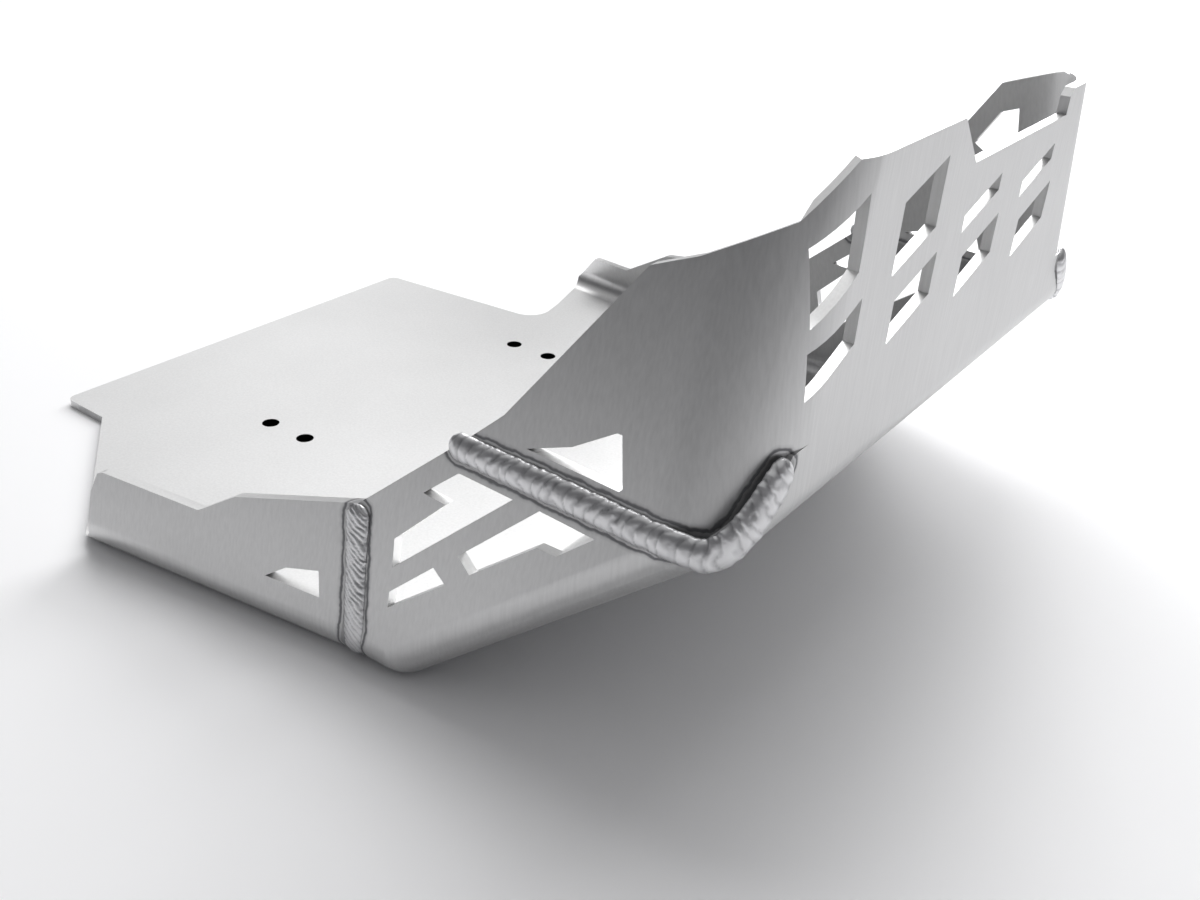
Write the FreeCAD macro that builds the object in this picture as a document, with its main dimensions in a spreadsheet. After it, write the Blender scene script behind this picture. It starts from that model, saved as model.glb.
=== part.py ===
"""Motorcycle skid plate: one folded 4 mm aluminium sheet with welded corners.

Millimetres, +X forwards, +Y to the rider's left, +Z up. The flat floor's underside is z = 0
and the origin is below the middle of the plate. Every sketch is drawn with x counted
forwards from the rear edge, and the finished pieces are moved back by half the length.
"""

import FreeCAD, Part
import Sketcher

import os

from FreeCAD import Placement, Rotation, Vector

doc = FreeCAD.newDocument("SkidPlate")
sheet = doc.addObject("Spreadsheet::Sheet", "Values")

SIZES = {
    # whole plate
    "sheet_t": 4.0,
    "overall_length": 408.0,
    "height": 206.0,
    "fold_back": 124.5,
    "seam_back": 145.7,
    "ramp_angle": 37.7,
    "face_tilt": 1.5,
    "fold_half": 178.0,
    "side_lean": 15.1,
    "rear_flare": 6.56,
    "bend_r": 12.6,
    "fold_r": 16.0,
    "corner_r": 31.0,
    "toe_corner_r": 10.0,
    "toe_r": 17.0,
    # rear tongue and the two rear corners of the floor
    "tongue_rear_half": 117.3,
    "tongue_front_half": 125.0,
    "tongue_front_x": 112.5,
    "tongue_corner_r": 4.5,
    "far_step_r": 13.0,
    "far_bay_x": 106.5,
    "far_bay_half": 153.0,
    "far_wall_x": 95.0,
    "far_wall_half": 190.0,
    "near_step_x": 31.0,
    "near_step_half": 118.4,
    "near_wall_x": 125.6,
    "near_wall_half": 193.2,
    # rear walls, right side
    "near_rear_low_z": 13.0,
    "near_rear_run": 5.0,
    "near_rear_high_z": 28.0,
    "near_wall_top": 37.3,
    "near_top_x": 131.2,
    "near_rise_back": 224.8,
    "near_rise_run": 17.4,
    "near_rise": 10.5,
    # rear walls, left side
    "far_wall_top": 26.0,
    "far_rear_low_z": 9.0,
    "far_top_x": 111.0,
    "far_rise_back": 271.0,
    "far_rise_run": 34.0,
    "far_rise": 20.0,
    # rear edge of the side flanges and wings
    "seam_top_z": 62.3,
    "wing_foot_back": 108.0,
    "wing_foot_z": 99.5,
    "wing_bend_back": 95.0,
    "wing_bend_z": 111.5,
    "near_peak_back": 52.6,
    "near_peak_z": 169.8,
    "near_shoulder_back": 36.7,
    "near_shoulder_z": 176.1,
    "near_crest_back": 11.8,
    "near_crest_z": 189.5,
    "far_peak_back": 42.6,
    "far_peak_z": 186.4,
    "far_crest_back": 15.0,
    "far_crest_z": 197.0,
    # front face, top edge
    "crown_left_y": 33.0,
    "crown_right_y": 104.0,
    "crown_foot_y": 119.5,
    "crown_right_back": 2.5,
    "crown_turn": 40.0,
    "notch_right_y": 14.8,
    "notch_left_y": 79.3,
    "notch_z": 187.8,
    "far_lip_z": 197.8,
    # mounting holes
    "hole_d": 8.5,
    "hole_pitch": 24.6,
    "right_holes_x": 109.5,
    "right_holes_y": 68.6,
    "left_holes_x": 138.0,
    "left_holes_y": 87.0,
    # face windows
    "window_pitch": 57.2,
    "window_w": 30.6,
    "window_skew": 8.9,
    "window_first_y": -129.0,
    "corner_high_w": 19.8,
    "corner_high_skew": 13.6,
    "corner_low_w": 26.6,
    "corner_low_skew": 10.9,
    "window_shift": 6.2,
    "low_window_z": 137.3,
    "low_window_tall": 15.3,
    "high_window_z": 162.7,
    "high_window_tall": 24.0,
    "notched_window_tall": 6.3,
    # side windows, by the corner that each group is drawn from
    "flange_window_back": 132.1,
    "flange_window_z": 30.4,
    "wall_window_back": 188.0,
    "wall_window_z": 22.7,
    "wing_window_back": 83.7,
    "wing_window_z": 102.9,
    "far_window_back": 52.6,
    "far_window_z": 153.4,
    # weld beads
    "bead_w": 12.0,
    "bead_proud": 3.0,
    "weld_rear_back": 111.5,
    "weld_rear_z": 96.0,
    "weld_elbow_back": 11.5,
    "weld_elbow_inset": 29.0,
    "weld_z": 92.5,
    "weld_tip_back": 4.0,
    "weld_tip_inset": 54.5,
    "weld_tip_z": 119.5,
    "corner_weld_lead": 3.7,
    "corner_weld_tilt": 0.145,
    "corner_weld_curl": 5.0,
    "corner_weld_turn": 35.0,
}
for row, (alias, value) in enumerate(SIZES.items(), start=1):
    sheet.set(f"A{row}", alias)
    sheet.set(f"B{row}", str(value))
    sheet.setAlias(f"B{row}", alias)
doc.recompute()


def value(text):
    """Number of an expression in sheet aliases."""
    found = sheet.evalExpression(text)
    return float(getattr(found, "Value", found))


def full(text):
    """Expression with each alias written with its sheet, for use from another object."""
    words, word = [], ""
    for letter in str(text) + " ":
        if letter.isalnum() or letter == "_":
            word += letter
            continue
        words.append(f"Values.{word}" if word in SIZES else word)
        words.append(letter)
        word = ""
    return "".join(words).strip()


PLANES = {
    "XY": Rotation(),
    "XZ": Rotation(Vector(1, 0, 0), 90),
    "YZ": Rotation(Vector(1, 1, 1), 120),
}


def front(name):
    """Expression for a place that is measured back from the front end."""
    return f"(overall_length - {name}_back)"


def outline(name, plane, points, offset=None):
    """Closed sketch whose corners are held by expressions.

    points holds pairs of expressions, and offset moves the sketch along its plane's normal
    axis, as an expression in that axis' own direction.
    """
    sketch = doc.addObject("Sketcher::SketchObject", name)
    sketch.Placement = Placement(Vector(), PLANES[plane])
    if offset is not None:
        axis = {"XY": "z", "XZ": "y", "YZ": "x"}[plane]
        sketch.setExpression(f"Placement.Base.{axis}", full(offset))
    spots = [Vector(value(a), value(b), 0) for a, b in points]
    for number, spot in enumerate(spots):
        sketch.addGeometry(Part.LineSegment(spot, spots[(number + 1) % len(spots)]), False)

    for number in range(len(spots)):
        sketch.addConstraint(
            Sketcher.Constraint("Coincident", number, 2, (number + 1) % len(spots), 1))
    for number, (a, b) in enumerate(points):
        for kind, text in (("DistanceX", a), ("DistanceY", b)):
            index = sketch.addConstraint(
                Sketcher.Constraint(kind, -1, 1, number, 1, value(text)))
            sketch.setExpression(f"Constraints[{index}]", full(text))
    return sketch


def extrusion(name, sketch, direction, length, back="0"):
    """Straight solid from a sketch, forwards by length and backwards by back."""
    solid = doc.addObject("Part::Extrusion", name)
    solid.Base = sketch
    solid.DirMode = "Custom"
    solid.Dir = direction
    solid.Solid = True
    solid.setExpression("LengthFwd", full(length))
    solid.setExpression("LengthRev", full(back))
    return solid


def boolean(kind, name, base, tool):
    """Part boolean of two objects."""
    result = doc.addObject(f"Part::{kind}", name)
    result.Base, result.Tool = base, tool
    return result


def common(name, shapes):
    """Part intersection of several objects."""
    result = doc.addObject("Part::MultiCommon", name)
    result.Shapes = shapes
    return result


def rounded(name, base, picks):
    """Part fillet; picks holds (test of an edge, radius) pairs."""
    doc.recompute()
    chosen = []
    for number, edge in enumerate(base.Shape.Edges, start=1):
        for test, radius in picks:
            if test(edge):
                chosen.append((number, radius, radius))
                break
    result = doc.addObject("Part::Fillet", name)
    result.Base = base
    result.Edges = chosen
    return result


LEAN = "tan(side_lean)"
FLARE = "tan(rear_flare)"
WALL_LEAN = f"({LEAN} / cos(rear_flare))"
SLANT = f"sqrt(1 + {LEAN} ^ 2)"
MITRE = "tan(ramp_angle / 2)"
FOLD_X = "(overall_length - fold_back)"
SEAM_X = "(overall_length - seam_back)"
WIDE = "fold_half * 2"
WELD_FOOT_X = f"({SEAM_X} + corner_weld_lead)"
WELD_ELBOW_Y = "(fold_half - weld_elbow_inset)"
WELD_TIP_Y = "(fold_half - weld_tip_inset)"
NEAR = 1e-4


def form(tag, inset, rear, over, filled):
    """Solid inside the outer skin, moved inwards by inset: rear tray and front bow in one.

    A filled form keeps the tight lower corners that the welds close.
    """
    top = f"(height + {over})"
    half = f"(fold_half - {inset} * {SLANT})"
    wall_half = f"(fold_half - {inset} * {SLANT} / cos(rear_flare))"
    slope, lead = "tan(ramp_angle)", "tan(face_tilt)"
    fold = f"({FOLD_X} - {inset} * {MITRE})"
    face_top = f"(overall_length + {over} * {lead} - {inset} / cos(face_tilt))"
    elbow_x = (f"(({face_top} - ({top} - {inset}) * {lead} - {fold} * {slope} * {lead})"
               f" / (1 - {slope} * {lead}))")
    elbow_z = f"({inset} + ({elbow_x} - {fold}) * {slope})"
    side = outline(f"{tag}Side", "XZ", [
        (rear, inset), (fold, inset), (elbow_x, elbow_z), (face_top, top), (rear, top)])
    block = extrusion(f"{tag}Block", side, Vector(0, 1, 0), WIDE, WIDE)
    bottom, crest = value(inset), value(top)
    elbow = Vector(value(elbow_x), 0, value(elbow_z))
    folded = rounded(f"{tag}Folded", block, [
        (lambda edge: all(abs(v.Point.x - value(fold)) < NEAR and abs(v.Point.z - bottom) < NEAR
                          for v in edge.Vertexes), value(f"fold_r - {inset}"))])

    def middle(edge):
        return edge.valueAt((edge.FirstParameter + edge.LastParameter) / 2)

    def on_face(point):
        return abs(point.x - value(face_top) + (crest - point.z) * value(lead)) < NEAR

    def low_wall_edge(edge, foot, flare, lean):
        """Whether an edge joins a side wall to the floor, the fold or the ramp."""
        spot = middle(edge)
        across = foot + flare * (value(SEAM_X) - spot.x) - lean * spot.z
        return (abs(abs(spot.y) - across) < NEAR and not on_face(spot)
                and abs(spot.z - crest) > NEAR and abs(spot.x - value(rear)) > NEAR)

    # the tray and the bow mirror each other in the plane that halves their corner
    seam = [(f"{SEAM_X} + ({WIDE} - fold_half) * tan(rear_flare / 2)", f"-({WIDE})"),
            (f"{SEAM_X} - fold_half * tan(rear_flare / 2)", "0"),
            (f"{SEAM_X} + ({WIDE} - fold_half) * tan(rear_flare / 2)", WIDE)]
    behind = extrusion(f"{tag}Behind", outline(
        f"{tag}BehindPlan", "XY", [(rear, f"-({WIDE})")] + seam + [(rear, WIDE)], "-sheet_t"),
        Vector(0, 0, 1), "height * 2")
    walls = []
    for word, sign in (("Right", "-"), ("Left", "")):
        plan = outline(f"{tag}{word}Plan", "XY", [
            (rear, f"{sign}({wall_half} + {FLARE} * ({SEAM_X} - ({rear})))"),
            ("overall_length", f"{sign}({wall_half} + {FLARE} * ({SEAM_X} - overall_length))"),
            ("overall_length", f"-({sign}({WIDE}))"), (rear, f"-({sign}({WIDE}))")])
        wall = extrusion(f"{tag}{word}Wall", plan, Vector(0, 0, 1), "height * 2")
        wall.setExpression("Dir.y", full(f"-({sign}{WALL_LEAN})"))
        walls.append(wall)
    tray = common(f"{tag}Tray", [folded] + walls)
    bend = value(f"bend_r - {inset}")
    flare, wall_lean, lean = value(FLARE), value(WALL_LEAN), value(LEAN)
    tray_bends = rounded(f"{tag}TrayBends", tray, [
        (lambda edge: low_wall_edge(edge, value(wall_half), flare, wall_lean), bend)])
    tray_round = boolean("Common", f"{tag}TrayPart", tray_bends, behind)

    foot, head = f"({half} - {LEAN} * {inset})", f"({half} - {LEAN} * {top})"
    prism = extrusion(f"{tag}Prism", outline(f"{tag}Section", "YZ", [
        (f"-{foot}", inset), (foot, inset), (head, top), (f"-{head}", top)], "0"),
        Vector(1, 0, 0), "overall_length * 2")
    ahead = extrusion(f"{tag}Ahead", outline(
        f"{tag}AheadPlan", "XY", seam + [("overall_length * 2", WIDE),
                                         ("overall_length * 2", f"-({WIDE})")], "-sheet_t"),
        Vector(0, 0, 1), "height * 2")
    bow = boolean("Common", f"{tag}Bow", folded, prism)

    def is_toe(edge):
        return all(abs(v.Point.x - elbow.x) < NEAR and abs(v.Point.z - elbow.z) < NEAR
                   for v in edge.Vertexes)

    def is_corner(edge):
        spot = middle(edge)
        return (on_face(spot) and abs(abs(spot.y) - value(half) + lean * spot.z) < NEAR
                and abs(spot.z - crest) > NEAR)

    def bow_with(name, radius):
        bends = rounded(f"{name}Bends", bow, [
            (is_toe, value(f"toe_r - {inset}")), (is_corner, value(f"{radius} - {inset}")),
            (lambda edge: low_wall_edge(edge, value(half), 0.0, lean), bend)])
        return boolean("Common", name, bends, ahead)

    wide_bow = bow_with(f"{tag}WideBow", "corner_r")
    if not filled:
        return boolean("Fuse", f"{tag}Form", tray_round, wide_bow)
    tight_bow = bow_with(f"{tag}TightBow", "toe_corner_r")
    # below the side welds the corner is tight, above them the wing turns on its wide bend
    under = outline(f"{tag}UnderWeld", "YZ", [
        ("-fold_half", "-sheet_t"), ("fold_half", "-sheet_t"), ("fold_half", "weld_z"),
        (WELD_ELBOW_Y, "weld_z"), (WELD_TIP_Y, "weld_tip_z"), (f"-{WELD_TIP_Y}", "weld_tip_z"),
        (f"-{WELD_ELBOW_Y}", "weld_z"), ("-fold_half", "weld_z")], FOLD_X)
    under_block = extrusion(f"{tag}UnderBlock", under, Vector(1, 0, 0), "overall_length")
    toe = boolean("Common", f"{tag}Toe", tight_bow, under_block)
    bow_round = boolean("Fuse", f"{tag}BowBends", wide_bow, toe)
    return boolean("Fuse", f"{tag}Form", tray_round, bow_round)


outer = form("Outer", "0", "-sheet_t", "0", True)
inner = form("Inner", "sheet_t", "-sheet_t * 2", "sheet_t", False)
blank = boolean("Cut", "Blank", outer, inner)

# outlines that are cut away
HIGH = "height + sheet_t * 5"
BEHIND = "-sheet_t * 5"
ABOVE_FLOOR = "sheet_t * 1.25"
near_plan = outline("NearPlan", "XY", [
    (BEHIND, f"-({WIDE})"), (BEHIND, "0"), ("0", "0"), ("0", "-tongue_rear_half"),
    ("near_step_x", "-near_step_half"), ("near_wall_x", "-near_wall_half"),
    ("near_wall_x", f"-({WIDE})")], "-sheet_t")
far_plan = outline("FarPlan", "XY", [
    (BEHIND, WIDE), (BEHIND, "0"), ("0", "0"), ("0", "tongue_rear_half"),
    ("tongue_front_x", "tongue_front_half"), ("far_bay_x", "far_bay_half"),
    ("far_wall_x", "far_wall_half"), ("far_wall_x", WIDE)], "-sheet_t")
near_cut = extrusion("NearPlanCut", near_plan, Vector(0, 0, 1), "height * 2")
far_cut = extrusion("FarPlanCut", far_plan, Vector(0, 0, 1), "height * 2")


def upright(edge, x, y):
    """Whether an edge of a plan cut stands at one corner of its outline."""
    ends = [v.Point for v in edge.Vertexes]
    return all(abs(p.x - value(x)) < 1e-4 and abs(p.y - value(y)) < 1e-4 for p in ends)


near_round = rounded("NearPlanRound", near_cut, [
    (lambda edge: upright(edge, "0", "-tongue_rear_half"), value("tongue_corner_r"))])
far_round = rounded("FarPlanRound", far_cut, [
    (lambda edge: upright(edge, "0", "tongue_rear_half"), value("tongue_corner_r")),
    (lambda edge: upright(edge, "tongue_front_x", "tongue_front_half"), value("far_step_r"))])

near_side = outline("NearSide", "XZ", [
    (BEHIND, ABOVE_FLOOR), ("near_wall_x - near_rear_run", ABOVE_FLOOR),
    ("near_wall_x - near_rear_run / 5", "near_rear_low_z - sheet_t"),
    ("near_wall_x", "near_rear_low_z"), ("near_wall_x", "near_rear_high_z"),
    ("near_wall_x + near_rear_run / 2", "near_wall_top - near_rear_run / 4"),
    ("near_top_x", "near_wall_top"), (front("near_rise"), "near_wall_top"),
    (f"{front('near_rise')} + near_rise_run", "near_wall_top + near_rise"),
    (f"{WELD_FOOT_X} - seam_top_z * corner_weld_tilt", "seam_top_z"),
    (front("wing_foot"), "wing_foot_z"), (front("wing_bend"), "wing_bend_z"),
    (front("near_peak"), "near_peak_z"), (front("near_shoulder"), "near_shoulder_z"),
    (front("near_crest"), "near_crest_z"), (front("near_crest"), HIGH), (BEHIND, HIGH)], "0")
near_side_cut = extrusion("NearSideCut", near_side, Vector(0, -1, 0), WIDE)
far_side = outline("FarSide", "XZ", [
    (BEHIND, "far_rear_low_z"), ("far_wall_x", "far_rear_low_z"),
    ("far_top_x", "far_wall_top"), (front("far_rise"), "far_wall_top"),
    (f"{front('far_rise')} + far_rise_run", "far_wall_top + far_rise"),
    (f"{WELD_FOOT_X} - seam_top_z * corner_weld_tilt", "seam_top_z"),
    (front("wing_foot"), "wing_foot_z"), (front("wing_bend"), "wing_bend_z"),
    (front("far_peak"), "far_peak_z"), (front("far_crest"), "far_crest_z"),
    (front("near_crest"), "far_lip_z - 1"), (front("near_crest"), HIGH), (BEHIND, HIGH)], "0")
far_side_cut = extrusion("FarSideCut", far_side, Vector(0, 1, 0), WIDE)
crown = outline("Crown", "YZ", [
    ("-crown_left_y", "height"),
    ("-notch_right_y", "notch_z"), ("notch_left_y", "notch_z"),
    ("notch_left_y", "far_lip_z - 3"), ("notch_left_y + 3", "far_lip_z"),
    ("fold_half - 75", "far_lip_z"), ("fold_half", "far_lip_z - 2"), ("fold_half", HIGH),
    ("-crown_left_y", HIGH)], f"{front('near_crest')} - sheet_t / 8")
crown_cut = extrusion("CrownCut", crown, Vector(1, 0, 0), "overall_length")


def across_bend(name, y):
    """Place of a point along the crown corner's own width, seen square to the bend there."""
    return f"({front(name)} * sin(crown_turn) - {y} * cos(crown_turn))"


CORNER_FOOT = across_bend("near_crest", "crown_foot_y")
corner = outline("CrownCorner", "YZ", [
    (CORNER_FOOT, "near_crest_z"), (across_bend("crown_right", "crown_right_y"), "height"),
    (across_bend("crown_right", "crown_right_y"), HIGH), (f"{CORNER_FOOT} - fold_half / 8", HIGH),
    (f"{CORNER_FOOT} - fold_half / 8", "near_crest_z")])
corner.Placement = Placement(Vector(), Rotation(Vector(0, 0, 1), -value("crown_turn"))
                             .multiply(PLANES["YZ"]))
corner_cut = extrusion("CrownCornerCut", corner, Vector(1, 0, 0), "overall_length * 2")
corner_cut.setExpression("Dir.x", full("cos(crown_turn)"))
corner_cut.setExpression("Dir.y", full("-sin(crown_turn)"))

# round mounting holes through the floor
holes = []
for name, x, y in (("RightRear", "right_holes_x - hole_pitch / 2", "-right_holes_y"),
                   ("RightFront", "right_holes_x + hole_pitch / 2", "-right_holes_y"),
                   ("LeftRear", "left_holes_x - hole_pitch / 2", "left_holes_y"),
                   ("LeftFront", "left_holes_x + hole_pitch / 2", "left_holes_y")):
    hole = doc.addObject("Part::Cylinder", f"{name}Hole")
    hole.setExpression("Radius", full("hole_d / 2"))
    hole.setExpression("Height", full("sheet_t * 3"))
    hole.setExpression("Placement.Base.x", full(x))
    hole.setExpression("Placement.Base.y", full(y))
    hole.setExpression("Placement.Base.z", full("-sheet_t"))
    holes.append(hole)

# slanted windows through the front face, in two rows
windows = []
for column in range(4):
    tall = "high_window_tall" if column < 2 else "notched_window_tall"
    for row, shift, foot, rise in (("Low", "window_shift", "low_window_z", "low_window_tall"),
                                   ("High", "0", "high_window_z", tall)):
        right = f"window_first_y + {column} * window_pitch + {shift} + window_w"
        top = f"{foot} + window_skew"
        # the first column wraps onto the bend, so it looks narrower from the front
        wide = f"corner_{row.lower()}_w" if column == 0 else "window_w"
        skew = f"corner_{row.lower()}_skew" if column == 0 else "window_skew"
        sketch = outline(f"{row}Window{column + 1}", "YZ", [
            (f"{right} - {wide}", f"{top} - {skew}"), (right, top), (right, f"{top} + {rise}"),
            (f"{right} - {wide}", f"{top} - {skew} + {rise}")], f"{front('near_shoulder')} + sheet_t")
        windows.append(extrusion(f"{row}Window{column + 1}Cut", sketch, Vector(1, 0, 0),
                                 "overall_length"))

# windows through the flanges, rear walls and wings: corner offsets along X and Z
SHAPES = {
    "ArrowStripe": ("flange_window", [(23.0, 56.7), (46.9, 55.7), (1.2, 15.0), (0.0, 25.2),
                                      (19.8, 44.5), (9.3, 45.2)]),
    "HookStripe": ("flange_window", [(58.0, 55.7), (80.6, 54.3), (67.6, 43.8), (59.6, 43.8),
                                     (35.0, 25.0), (28.8, 29.5)]),
    "ShortStripe": ("flange_window", [(19.3, 21.7), (25.5, 17.7), (2.0, 0.0), (1.7, 6.0)]),
    "WallWindow": ("wall_window", [(0.0, 0.0), (9.2, 6.1), (24.2, 9.7), (26.3, 0.0)]),
    "WingWindow": ("wing_window", [(0.0, 0.9), (17.0, 6.9), (32.2, 16.1), (34.1, 16.1),
                                   (38.3, 0.1), (37.1, -0.9)]),
}
for name, (anchor, corners) in SHAPES.items():
    points = [(f"overall_length - {anchor}_back + {dx}", f"{anchor}_z + {dz}") for dx, dz in corners]
    sketch = outline(name, "XZ", points)
    windows.append(extrusion(f"{name}Cut", sketch, Vector(0, 1, 0), WIDE, WIDE))
far_corners = [(0.0, 3.8), (10.9, 20.2), (18.8, 23.2), (19.4, 11.6), (5.6, 0.0)]
far_window = outline("FarWindow", "XZ", [
    (f"{front('far_window')} + {dx}", f"far_window_z + {dz}") for dx, dz in far_corners])
windows.append(extrusion("FarWindowCut", far_window, Vector(0, 1, 0), WIDE))

tools = doc.addObject("Part::MultiFuse", "Tools")
tools.Shapes = [near_round, far_round, near_side_cut, far_side_cut, crown_cut,
                corner_cut] + holes + windows
plate = boolean("Cut", "skid_plate", blank, tools)
plate.setExpression("Placement.Base.x", full("-overall_length / 2"))
doc.recompute()


def bead(name, path):
    """Rounded weld bead along a path, resting on the folded sheet's outer skin."""
    width, proud = value("bead_w"), value("bead_proud")
    radius = (width ** 2 / 4 + proud ** 2) / (2 * proud)
    solid = Part.makeSphere(radius, path[0])
    for start, end in zip(path, path[1:]):
        solid = solid.fuse(Part.makeCylinder(radius, (end - start).Length, start, end - start))
        solid = solid.fuse(Part.makeSphere(radius, end))
    feature = doc.addObject("Part::Feature", name)
    feature.Shape = solid.cut(outer.Shape).removeSplitter()
    feature.Placement = Placement(Vector(-value("overall_length / 2"), 0, 0), Rotation())
    return feature


def side_point(x, z, side, depth):
    """Point under the flange's outer skin at a depth, side -1 right or 1 left."""
    across = value(f"fold_half - {LEAN} * {z}") - depth * value(SLANT)
    return Vector(x, side * across, z)


depth = value("(bead_w ^ 2 / 4 + bead_proud ^ 2) / (2 * bead_proud) - bead_proud")
beads = []
for word, side in (("right", -1), ("left", 1)):
    tangent = "bend_r * (1 + sin(side_lean))"
    turned = f"(bend_r - {depth})"
    steps = [Vector(value(f"{WELD_FOOT_X} - corner_weld_curl"),
                    side * value(f"fold_half - {LEAN} * bend_r - bend_r * {SLANT}"
                                 f" + {turned} * cos(corner_weld_turn)"),
                    value(f"bend_r - {turned} * sin(corner_weld_turn)"))]
    for level in (value(tangent), value("seam_top_z - bead_w / 2")):
        steps.append(side_point(value(f"{WELD_FOOT_X} - {level} * corner_weld_tilt"), level,
                                side, depth))
    beads.append(bead(f"weld_{word}_corner", steps))
    level = value("weld_z")
    steps = [side_point(value(front("weld_rear")), value("weld_rear_z"), side, depth),
             side_point(value(front("weld_elbow")) - depth, level, side, depth),
             Vector(value(front("weld_tip")) - depth, side * value(WELD_TIP_Y),
                    value("weld_tip_z"))]
    beads.append(bead(f"weld_{word}_side", steps))

doc.recompute()
pieces = [plate] + beads
for item in doc.Objects:
    if "Invalid" in item.State or "Error" in item.State:
        raise RuntimeError(f"{item.Name} failed: {item.State}")
for item in pieces:
    shape = item.Shape
    if shape.isNull() or not shape.isValid() or len(shape.Solids) != 1:
        raise RuntimeError(f"{item.Name} is not one valid solid: {len(shape.Solids)}")
    box = shape.optimalBoundingBox(False, False)
    print(item.Name, round(shape.Volume, 1), [round(v, 2) for v in (
        box.XMin, box.XMax, box.YMin, box.YMax, box.ZMin, box.ZMax)])

os.makedirs("parts", exist_ok=True)
for item in pieces:
    item.Label = item.Name
    item.Shape.exportStep(f"parts/{item.Label}.step")
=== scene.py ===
"""Motorcycle skid plate: folded raw aluminium sheet with rippled weld beads, in a pale studio."""

import logging
import math
from dataclasses import dataclass, field
from enum import Enum

import bmesh
import bpy
from mathutils import Matrix, Vector


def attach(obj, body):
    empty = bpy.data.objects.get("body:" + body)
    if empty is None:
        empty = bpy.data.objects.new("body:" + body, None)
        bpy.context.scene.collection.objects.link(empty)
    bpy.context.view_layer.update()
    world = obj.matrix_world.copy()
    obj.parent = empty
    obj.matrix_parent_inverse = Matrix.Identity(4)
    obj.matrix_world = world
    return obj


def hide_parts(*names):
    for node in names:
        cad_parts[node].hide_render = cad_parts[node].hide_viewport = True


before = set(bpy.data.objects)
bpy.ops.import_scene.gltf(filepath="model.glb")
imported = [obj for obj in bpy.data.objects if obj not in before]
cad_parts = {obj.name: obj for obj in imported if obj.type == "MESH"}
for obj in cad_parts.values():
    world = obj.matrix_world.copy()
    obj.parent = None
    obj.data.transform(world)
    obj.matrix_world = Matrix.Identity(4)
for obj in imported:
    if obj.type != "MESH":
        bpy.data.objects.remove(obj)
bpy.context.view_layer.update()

LOG = logging.getLogger("skid_plate")
MM = 0.001

Socket = bpy.types.NodeSocket
Triple = tuple[float, float, float]


class Side(Enum):
    """Side of the motorcycle, as the sign of Y in the part's frame."""

    RIGHT = -1
    LEFT = 1


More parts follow.
